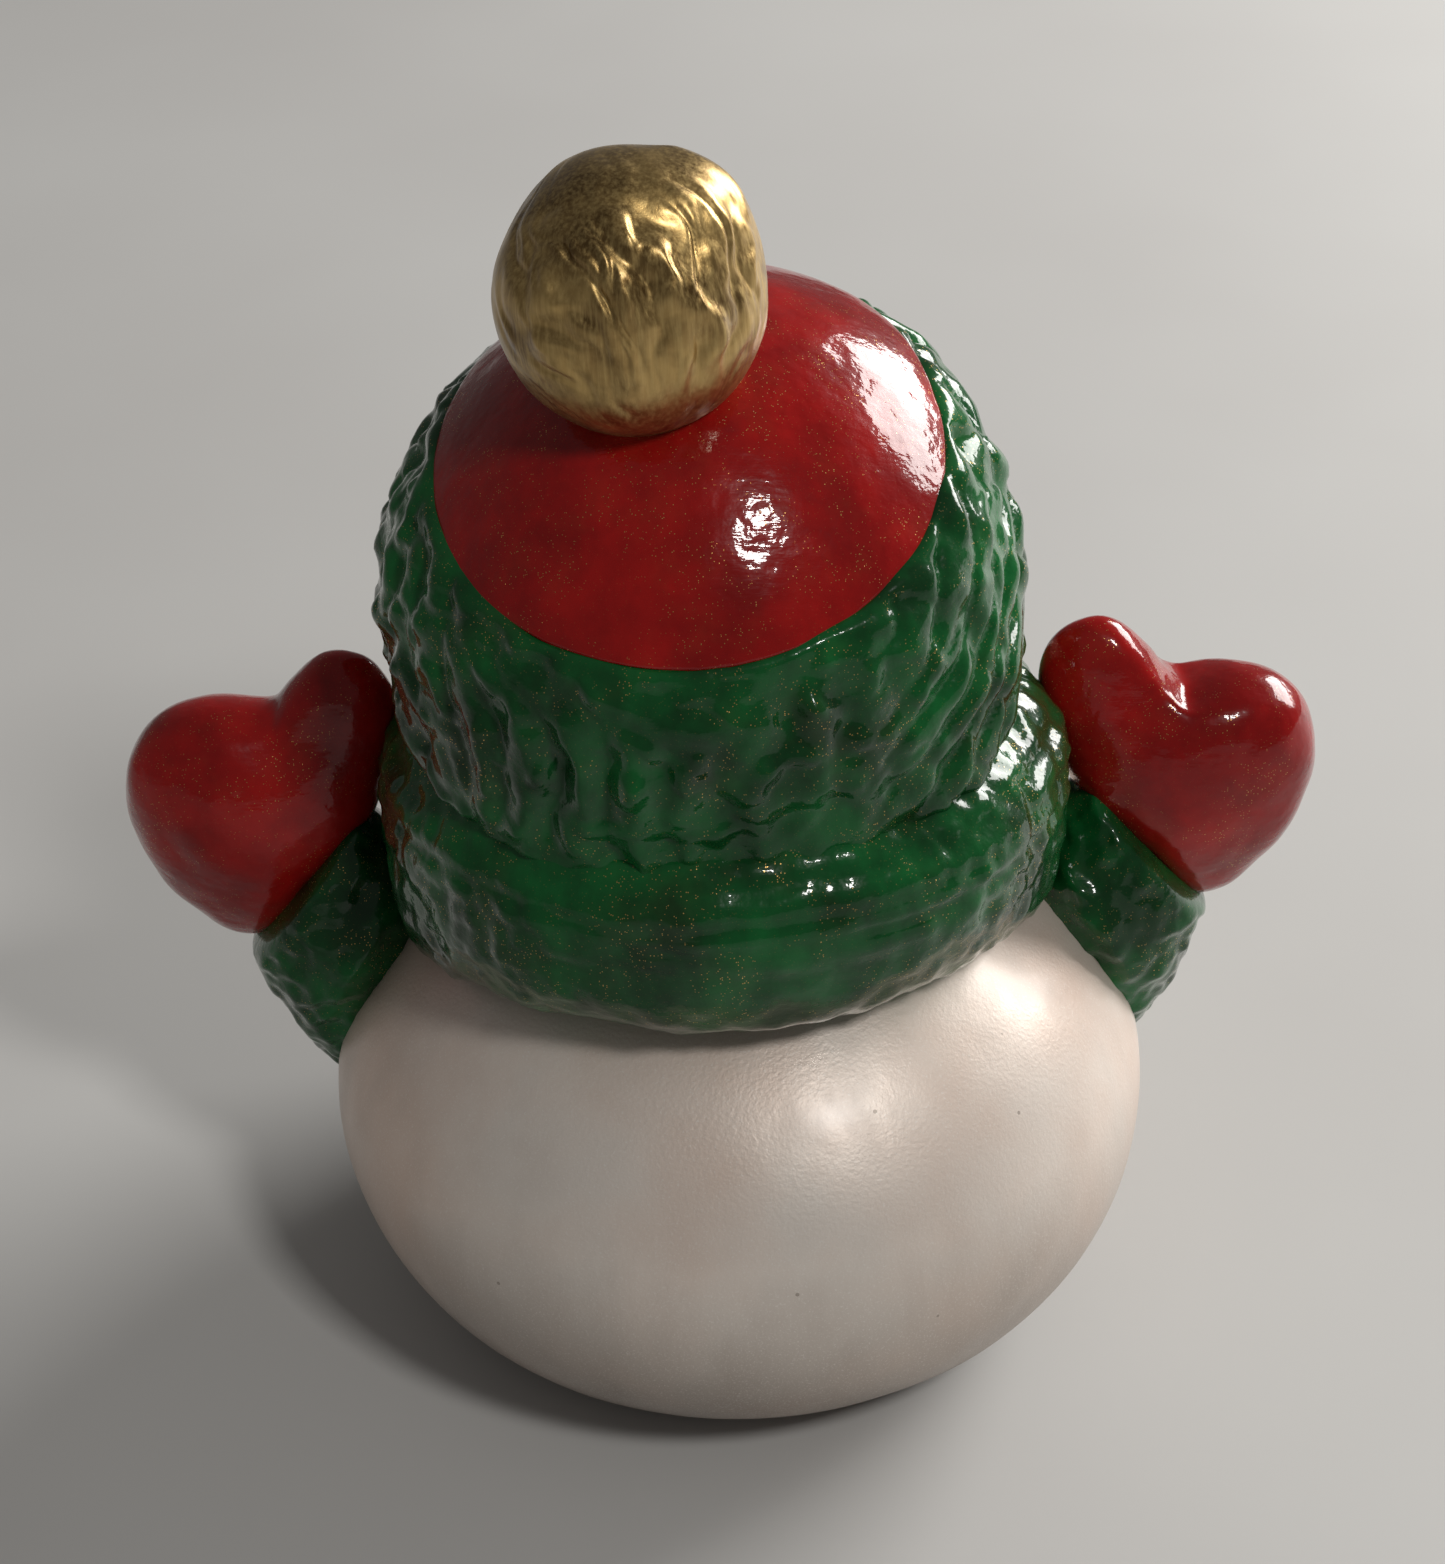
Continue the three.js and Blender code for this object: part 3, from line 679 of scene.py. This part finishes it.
def on_crown(direction):
    """The smooth top of the cap: a dome that tucks in under the cuff's upper edge."""
    angle = math.acos(clamp(direction.z, -1, 1))
    tuck = SEAM_ANGLE + math.radians(1.6 + 0.8 * wander(direction, 0.45, 3.0))
    if angle <= CROWN_OUTSIDE_UNTIL:
        reach = tuck * angle / CROWN_OUTSIDE_UNTIL
        radius = CROWN_RADIUS + 0.12 * MM
        radius -= 1.6 * MM * smooth_step(tuck - 0.022, tuck, reach)
    else:
        reach = tuck * (math.pi - angle) / (math.pi - CROWN_OUTSIDE_UNTIL)
        radius = mix(HEAD_RADIUS, CROWN_RADIUS - 1.35 * MM, smooth_step(0.9, 1.0, reach / tuck))
    flat = Vector((direction.x, direction.y, 0))
    flat = flat.normalized() if flat.length > 1e-9 else Vector((1, 0, 0))
    here = flat * math.sin(reach) + UP * math.cos(reach)
    here.rotate(UP.rotation_difference(CROWN_AXIS))
    if angle <= CROWN_OUTSIDE_UNTIL:
        point = here * CROWN_RADIUS
        to_pompom = here.angle((POMPOM - HEAD).normalized())
        radius += 0.9 * MM * hump(to_pompom, 0, 0.36) + head_swell(here)
        radius += 0.20 * MM * wander(point, 9 * MM, 5.5) + 0.07 * MM * wander(point, 3.5 * MM, 2.5)
    return HEAD + here * radius


def make_crown():
    return from_ball("cap_crown", 7, on_crown)


POMPOM_AXIS = (POMPOM - HEAD).normalized()
# The yarn's strands meet at the front of the top, out of sight from behind
YARN_AXIS = Vector((0.10, -0.52, 0.85)).normalized()
YARN_SIDE = YARN_AXIS.cross(Vector((0, 1, 0))).normalized()
YARN_REAR = YARN_SIDE.cross(YARN_AXIS)
YARN_HEIGHT = 0.9
YARN_HEIGHT_IN_FRONT = 0.14


def on_pompom(direction):
    """A ball of yarn under thick paint: long wavy strands, strongest at the back."""
    point = direction * POMPOM_RADIUS
    height = direction.dot(YARN_AXIS)
    around = math.atan2(direction.dot(YARN_SIDE), direction.dot(YARN_REAR))
    bent = around + 0.25 * height + 0.20 * wander(point, 5 * MM, 1.0) + 0.06 * wander(point, 2 * MM, 2.0)
    strand = Vector((math.cos(bent) * 4.8 + 0.31, math.sin(bent) * 4.8 + 0.47, 2.3 * height + 0.19))
    yarn = noise.noise(strand) + 0.30 * noise.noise(strand * 2.1 + Vector((5.3, 1.6, 0.4)))
    furrow = -hump(noise.noise(strand * 0.8 + Vector((0.37, 7.43, 3.21))), 0, 0.16)
    facing = smooth_step(1.5, 0.6, abs(around - 0.15))
    facing *= smooth_step(-0.85, -0.4, height) * smooth_step(0.7, 0.2, height)
    radius = POMPOM_RADIUS - 0.05 * MM
    off_pole = smooth_step(1.0, 0.84, abs(height))
    radius += MM * mix(YARN_HEIGHT_IN_FRONT, YARN_HEIGHT, facing) * off_pole * (0.72 * yarn + 0.30 * furrow)
    radius += 0.26 * MM * wander(point, 6.5 * MM, 6.0)
    upper_right = hump(around, 1.15, 0.6) * hump(height, 0.62, 0.35)
    upper_left = hump(around, -1.2, 0.5) * hump(height, 0.55, 0.35)
    radius += (1.15 * upper_right - 0.4 * upper_left) * off_pole * MM
    return POMPOM + direction * radius + POMPOM_AXIS * direction.dot(POMPOM_AXIS) * 1.1 * MM


def make_pompom():
    return from_ball("pompom_yarn", 7, on_pompom)


# ---------------------------------------------------------------- arms

ARM_RISE = math.radians(37)
ARM = Vector((math.cos(ARM_RISE), 0, math.sin(ARM_RISE)))
ARM_ACROSS = Vector((-math.sin(ARM_RISE), 0, math.cos(ARM_RISE)))
FRONT = Vector((0, -1, 0))
SHOULDER = Vector((27.95, -4.4, 34.5)) * MM
WRIST = SHOULDER + ARM * 8.3 * MM
MITTEN_THICK_AT_HEM = 7.0
MITTEN_THICK_AT_TIPS = 3.9
# A mitten seen from behind, round its heart: turn from the arm's axis in degrees, and reach
MITTEN_HEART = (8.0, 7.0)
MITTEN_OUTLINE = [
    [-180, 9.0],
    [-135, 11.8],
    [-115, 17.4],
    [-92, 16.1],
    [-66, 14.4],
    [-44, 13.3],
    [-20, 12.0],
    [8, 9.3],
    [33, 6.7],
    [55, 6.3],
    [66, 8.4],
    [78, 11.6],
    [89, 12.6],
    [101, 12.6],
    [117, 11.5],
    [141, 9.0],
    [180, 9.0],
]


def arm_place(along, across, forward=0.0):
    return WRIST + (ARM * along + ARM_ACROSS * across + FRONT * forward) * MM


def on_mitten(side, lean, dip, seed):
    """A mitten's form; lean, in degrees, and dip, in mm, make its outer lobe slimmer."""

    def shape(direction):
        inward = Vector((side * direction.x, direction.y, direction.z))
        along, across, forward = inward.dot(ARM), inward.dot(ARM_ACROSS), inward.dot(FRONT)
        level = math.hypot(along, across)
        turn = math.degrees(math.atan2(across, along)) if level > 1e-6 else 0.0
        rim = along_path(MITTEN_OUTLINE, turn + lean * hump(turn, -10, 55))[0] - dip * hump(turn, 22, 29)
        inner = mix(rim, 10.0, 0.45)
        reach = mix(inner, rim, smooth_step(0.3, 1.0, level)) * level**0.82
        out = math.radians(turn)
        x, y = MITTEN_HEART[0] + reach * math.cos(out), MITTEN_HEART[1] + reach * math.sin(out)
        thick = mix(MITTEN_THICK_AT_HEM, MITTEN_THICK_AT_TIPS, smooth_step(-2, 16, y))
        thick -= 0.9 * smooth_step(2, -8, y)
        thick -= 0.7 * hump(x, 10.5, 3.2) * hump(y, 11.0, 2.6)
        point = arm_place(x, y, 0.6 + thick * forward)
        point += inward * (0.30 * wander(point, 9 * MM, seed) + 0.12 * wander(point, 3 * MM, seed)) * MM
        return Vector((side * point.x, point.y, point.z))

    return shape


def make_mitten(side, name, lean, dip, seed):
    return from_ball(name, 6, on_mitten(side, lean, dip, seed))


# A sleeve from the hem to inside the body: share, along the arm, across it, half-width, half-depth
SLEEVE_STOPS = [
    [0.00, 1.2, -1.2, 5.0, 3.0],
    [0.05, 0.9, -1.2, 8.0, 5.4],
    [0.11, 0.0, -1.4, 8.8, 6.6],
    [0.32, -3.0, -2.7, 9.5, 7.2],
    [0.62, -8.0, -5.0, 9.9, 7.2],
    [0.82, -12.5, -7.2, 9.0, 6.6],
    [1.00, -17.0, -8.0, 7.0, 5.6],
]


def on_sleeve(side, seed):
    def shape(turn, share):
        along, across, wide, deep = along_path(SLEEVE_STOPS, share)
        taper = rounded_end(share, 0.05) * rounded_end(1 - share, 0.1)
        wide, deep = wide * taper, deep * taper
        middle = arm_place(along, across, -0.5 * (1 - share))
        out = (ARM_ACROSS * wide * math.cos(turn) + FRONT * deep * math.sin(turn)) * MM
        point = middle + out
        if out.length > 0.5 * MM:
            knit = 0.40 * wander(point, 1.5 * MM, seed) + 0.35 * wander(point, 4 * MM, seed + 4)
            puff = 1.5 * hump(share, 0.47, 0.13) * hump(turn_difference(turn, -1.25), 0, 0.75)
            point += out.normalized() * (knit + puff) * MM * smooth_step(0.04, 0.12, share)
        return Vector((side * point.x, point.y, point.z))

    return shape


def make_sleeve(side, name, seed):
    return from_lobe(name, 160, 140, on_sleeve(side, seed))


# ---------------------------------------------------------------- face

NOSE_RADIUS = 5.4 * MM
NOSE_DROP = math.radians(17)
NOSE_OUT = HEAD_RADIUS + 5 * MM
NOSE = HEAD + Vector((0, -math.cos(NOSE_DROP), -math.sin(NOSE_DROP))) * NOSE_OUT


def on_nose(direction):
    wide = Vector((1.04 * direction.x, direction.y, 0.97 * direction.z))
    swell = 1 + 0.05 * max(0.0, -direction.z) + 0.02 * wander(direction, 0.9, 1.3)
    return NOSE + wide * NOSE_RADIUS * swell * 0.985


def make_nose():
    return from_ball("nose_ball", 5, on_nose)


def on_cheeks(direction):
    both = hump(direction.x, 0.5, 0.2) + hump(direction.x, -0.5, 0.2)
    cheek = 0.25 * MM * both * max(0.0, -direction.y)
    soft = 0.12 * MM * wander(direction, 0.4, 2.0)
    return HEAD + direction * (HEAD_RADIUS - 0.2 * MM + cheek + soft)


def make_head():
    return from_ball("head_ball", 6, on_cheeks)


BEARD_TIP = 22.6 * MM
BEARD_TOP = SCARF_MIDDLE + 10.6 * MM
# The beard from the cheeks to its tip: share, way down as a share of its length, half-width,
# then its front and its back in mm in front of the figure's axis
BEARD_STOPS = [
    [0.00, 0.00, 4.0, 19.0, 16.0],
    [0.06, 0.015, 9.0, 21.6, 14.0],
    [0.15, 0.08, 13.2, 24.0, 13.0],
    [0.28, 0.20, 16.4, 29.2, 15.0],
    [0.42, 0.34, 16.9, 33.6, 18.0],
    [0.58, 0.52, 14.9, 35.2, 22.0],
    [0.74, 0.70, 11.2, 35.6, 25.0],
    [0.88, 0.87, 6.6, 35.4, 27.0],
    [0.96, 0.965, 3.2, 35.2, 29.0],
    [1.00, 1.00, 0.6, 34.8, 33.6],
]


def strand(across, down, seed):
    """Height of wavy locks: across in locks, down in waves."""
    sway = 0.50 * math.sin(2 * math.pi * (down * 1.5 + 0.13 * math.floor(across) + seed))
    lock = across + 0.38 * sway
    broad = ridge(lock) - 0.72
    fine = ridge(lock * 3 + 0.3 * sway) - 0.72
    return 0.75 * broad + 0.26 * fine


def on_beard(turn, share):
    depth, wide, front, back = along_path(BEARD_STOPS, share)
    height = mix(BEARD_TOP, BEARD_TIP, depth)
    closing = rounded_end(share, 0.06)
    half = (front - back) / 2 * closing
    sideways, outward = math.cos(turn), math.sin(turn)
    spread = squarer(sideways, 0.85)
    x = wide * closing * spread
    y = (front + back) / 2 + half * squarer(outward, 0.8)
    point = Vector((x, -y, height / MM)) * MM
    if outward > -0.35 and half > 0.5:
        face = Vector((sideways / max(wide, 1), -outward / max(half, 1), 0)).normalized()
        across = 5.2 * spread / (1 + 0.15 * depth) + 0.5
        locks = strand(across, depth, 0.2) * smooth_step(-0.35, 0.2, outward)
        locks *= smooth_step(0.0, 0.12, share) * smooth_step(1.0, 0.9, share)
        point += face * (locks + 0.25 * wander(point, 5 * MM, 3.0)) * MM * 0.8
    return point


def make_beard():
    return from_lobe("beard_locks", 260, 200, on_beard)


# One half of the moustache: share, out from the nose, in front of it, below it, half-thickness
MOUSTACHE_STOPS = [
    [0.00, 0.3, 2.2, 4.6, 2.4],
    [0.20, 3.4, 2.8, 5.1, 3.0],
    [0.50, 8.8, 2.5, 6.9, 3.0],
    [0.75, 12.6, 1.1, 6.3, 2.2],
    [1.00, 15.9, -0.6, 4.0, 0.9],
]


def on_moustache(side, seed):
    def shape(turn, share):
        out, forward, below, thick = along_path(MOUSTACHE_STOPS, share)
        ahead = along_path(MOUSTACHE_STOPS, min(1, share + 0.02))
        closing = rounded_end(share, 0.12) * rounded_end(1 - share, 0.10)
        along = Vector((ahead[0] - out, -(ahead[1] - forward), -(ahead[2] - below)))
        along = along.normalized() if along.length > 1e-6 else Vector((1, 0, 0))
        lift = (UP - along * UP.dot(along)).normalized()
        depth = along.cross(lift)
        reach = thick * closing
        locks = 0.0
        if closing > 0.3:
            waves = turn / (2 * math.pi) * 9 + 0.35 * math.sin(5 * share + seed)
            locks = 0.34 * (ridge(waves) - 0.7) * smooth_step(0.05, 0.2, share)
        offset = (lift * math.cos(turn) + depth * math.sin(turn)) * (reach + locks)
        point = NOSE / MM + Vector((out, -forward, -below)) + offset
        x = NOSE.x / MM + side * (point.x - NOSE.x / MM)
        return Vector((x, point.y, point.z)) * MM

    return shape


def make_moustache(side, name, seed):
    return from_lobe(name, 120, 90, on_moustache(side, seed))


# ---------------------------------------------------------------- scarf ends

KNOT_TURN = math.radians(47)
KNOT_RADIUS = 4.5 * MM
KNOT_HEIGHT = SCARF_MIDDLE - 5 * MM
TAIL_HALF_WIDTH = 4.6
TAIL_HALF_THICKNESS = 2.6
# Shares of an end's length: a tied band crosses it and the fringe begins
TAIL_BAND = 0.79
TAIL_FRINGE = 0.84


def front_place(turn, radius, height):
    """A point so far round from the front, towards the figure's left."""
    return Vector((radius * math.sin(turn), -radius * math.cos(turn), height))


def on_knot(direction):
    centre = front_place(KNOT_TURN, SCARF_RADIUS, KNOT_HEIGHT)
    fold = 0.22 * (ridge(3 * direction.z + 0.6 * direction.x) - 0.7)
    soft = 0.25 * wander(direction, 0.5, 4.0)
    return centre + direction * (KNOT_RADIUS + (fold + soft - 0.2) * MM)


def make_knot():
    return from_ball("scarf_knot_lump", 6, on_knot)


def body_skin(height):
    """How far the body's skin is from the figure's axis at a height."""
    share = clamp((height - BELLY_HEIGHT) / BELLY_RISE, -0.999, 0.999)
    return BELLY * math.sqrt(1 - share * share)


def on_tail(turn_deg, splay_deg, length, seed):
    def shape(turn, share):
        down = mix(-0.04, 1.07, share) * length * MM
        height = KNOT_HEIGHT - down
        radius = max(body_skin(height), SCARF_RADIUS - 2.8 * MM)
        here = math.radians(turn_deg + splay_deg * share)
        end = smooth_step(0, 0.05, share) * rounded_end(1 - share, 0.04)
        wide = TAIL_HALF_WIDTH * (0.72 + 0.28 * share) * max(0.02, end)
        thick = TAIL_HALF_THICKNESS * max(0.02, end)
        across = squarer(math.cos(turn), 0.7) * wide
        out = squarer(math.sin(turn), 0.8) * thick
        if out > 0 and end > 0.5:
            ribs = 0.30 * (ridge(across / 2.1 + 0.5) - 0.7)
            fringed = smooth_step(TAIL_FRINGE - 0.04, TAIL_FRINGE, share)
            fringe = -0.9 * fringed * (1 - ridge(across / 1.5 + 0.5))
            band = -0.35 * hump(share, TAIL_BAND, 0.012)
            soft = 0.2 * wander(Vector((across, down / MM, seed)), 4, seed)
            out += ribs * (1 - fringed) + fringe + band + soft
        sideways = Vector((math.cos(here), math.sin(here), 0))
        outward = Vector((math.sin(here), -math.cos(here), 0))
        return outward * radius + UP * height + (sideways * across + outward * out) * MM

    return shape


def make_tail(name, turn_deg, splay_deg, length, seed):
    return from_lobe(name, 90, 140, on_tail(turn_deg, splay_deg, length, seed))


# ---------------------------------------------------------------- the figure put together

pearl = pearl_paint()
knit_green = glitter_gloss(
    "knit_green",
    GREEN_DEEP,
    GREEN_BRIGHT,
    flake_size=0.14 * MM,
    flake_share=0.11,
    haze_share=0.02,
    peel_depth=0.06 * MM,
)
gloss_red = glitter_gloss(
    "gloss_red",
    RED_DEEP,
    RED_BRIGHT,
    flake_size=0.12 * MM,
    flake_share=0.08,
    haze_share=0.03,
    peel_depth=0.045 * MM,
)
gold = brushed_gold()
flesh = flesh_gloss()


def fit_out(piece, finish, slot, *nodes):
    """Gives a piece its finish and its body, and hides the nodes of the frame that it stands for."""
    piece.data.materials.append(finish)
    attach(piece, "root")
    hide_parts(*nodes)


fit_out(make_body(), pearl, "body_glaze", "body_shell")
fit_out(make_scarf(), knit_green, "knit_green", "scarf_wrap")
fit_out(make_knot(), knit_green, "knit_green", "scarf_knot")
fit_out(make_tail("scarf_end_long", 38, 3, 25, 1.0), knit_green, "knit_green", "scarf_tail_long")
fit_out(make_tail("scarf_end_short", 57, 5, 19, 2.0), knit_green, "knit_green", "scarf_tail_short")
fit_out(make_head(), flesh, "skin_glaze", "head_shell")
fit_out(make_cuff(), knit_green, "knit_green", "hat_cuff")
fit_out(make_crown(), gloss_red, "red_glaze", "hat_crown")
fit_out(make_pompom(), gold, "old_gold", "pompom")
fit_out(make_nose(), flesh, "skin_glaze", "nose")
fit_out(make_beard(), pearl, "beard_glaze", "beard")
for side, word in ((1, "left"), (-1, "right")):
    moustache = make_moustache(side, f"moustache_half_{word}", seed=side)
    fit_out(moustache, pearl, "beard_glaze", f"moustache_{word}")
    sleeve = make_sleeve(side, f"sleeve_knit_{word}", seed=3.0 + side)
    fit_out(sleeve, knit_green, "knit_green", f"sleeve_{word}")
    lean, dip = (2.0, 0.5) if word == "left" else (9.0, 2.5)
    mitten = make_mitten(side, f"mitten_hand_{word}", lean, dip, seed=5.0 + side)
    fit_out(mitten, gloss_red, "red_glaze", f"mitten_{word}")


# ---------------------------------------------------------------- table, lights and camera

TABLE_HALF_WIDTH = 3.0
FIGURE_MIDDLE = Vector((0, 0, 0.055))
DAYLIGHT = (1.0, 0.985, 0.96)


def make_table():
    mesh = bmesh.new()
    bmesh.ops.create_grid(mesh, x_segments=8, y_segments=8, size=TABLE_HALF_WIDTH)
    table = finished("table", mesh)
    table.data.materials.append(pale_table())


def towards(turn, elevation):
    """Direction from the figure, by degrees round from its back towards its left, and up."""
    level = math.cos(math.radians(elevation))
    across, ahead = math.sin(math.radians(turn)), math.cos(math.radians(turn))
    return Vector((level * across, level * ahead, math.sin(math.radians(elevation))))


def make_light(name, turn, elevation, distance, wide, tall, power):
    data = bpy.data.lights.new(name, "AREA")
    data.shape = "RECTANGLE"
    data.size, data.size_y = wide, tall
    data.energy = power
    data.color = DAYLIGHT
    light = bpy.data.objects.new(name, data)
    light.location = FIGURE_MIDDLE + towards(turn, elevation) * distance
    light.rotation_euler = (light.location - FIGURE_MIDDLE).to_track_quat("Z", "Y").to_euler()
    bpy.context.scene.collection.objects.link(light)


def make_lights():
    make_light("window", turn=-125, elevation=22, distance=0.75, wide=0.47, tall=0.28, power=6.8)
    make_light("lamp", turn=-34, elevation=47, distance=0.80, wide=0.11, tall=0.11, power=2.1)
    world = bpy.data.worlds.new("room")
    world.use_nodes = True
    room = world.node_tree.nodes["Background"]
    room.inputs["Color"].default_value = (1.0, 0.98, 0.96, 1)
    room.inputs["Strength"].default_value = 0.145
    bpy.context.scene.world = world


def set_tones():
    """Plain tones, so that the paint keeps its depth."""
    bpy.context.scene.view_settings.view_transform = "Standard"


def make_camera():
    """Looks down on the figure's back from close by, slightly rolled."""
    distance, elevation, roll, lens = 0.290, 35, 2.6, 81.2
    aim = Vector((0, 0, 0.0495))
    back = towards(0, elevation)
    data = bpy.data.cameras.new("camera")
    data.lens = lens
    data.sensor_width = 36
    camera = bpy.data.objects.new("camera", data)
    turn = back.to_track_quat("Z", "Y") @ Quaternion((0, 0, 1), -math.radians(roll))
    camera.rotation_mode = "QUATERNION"
    camera.rotation_quaternion = turn
    camera.location = aim + back * distance
    bpy.context.scene.collection.objects.link(camera)
    bpy.context.scene.camera = camera


make_table()
make_lights()
set_tones()
make_camera()
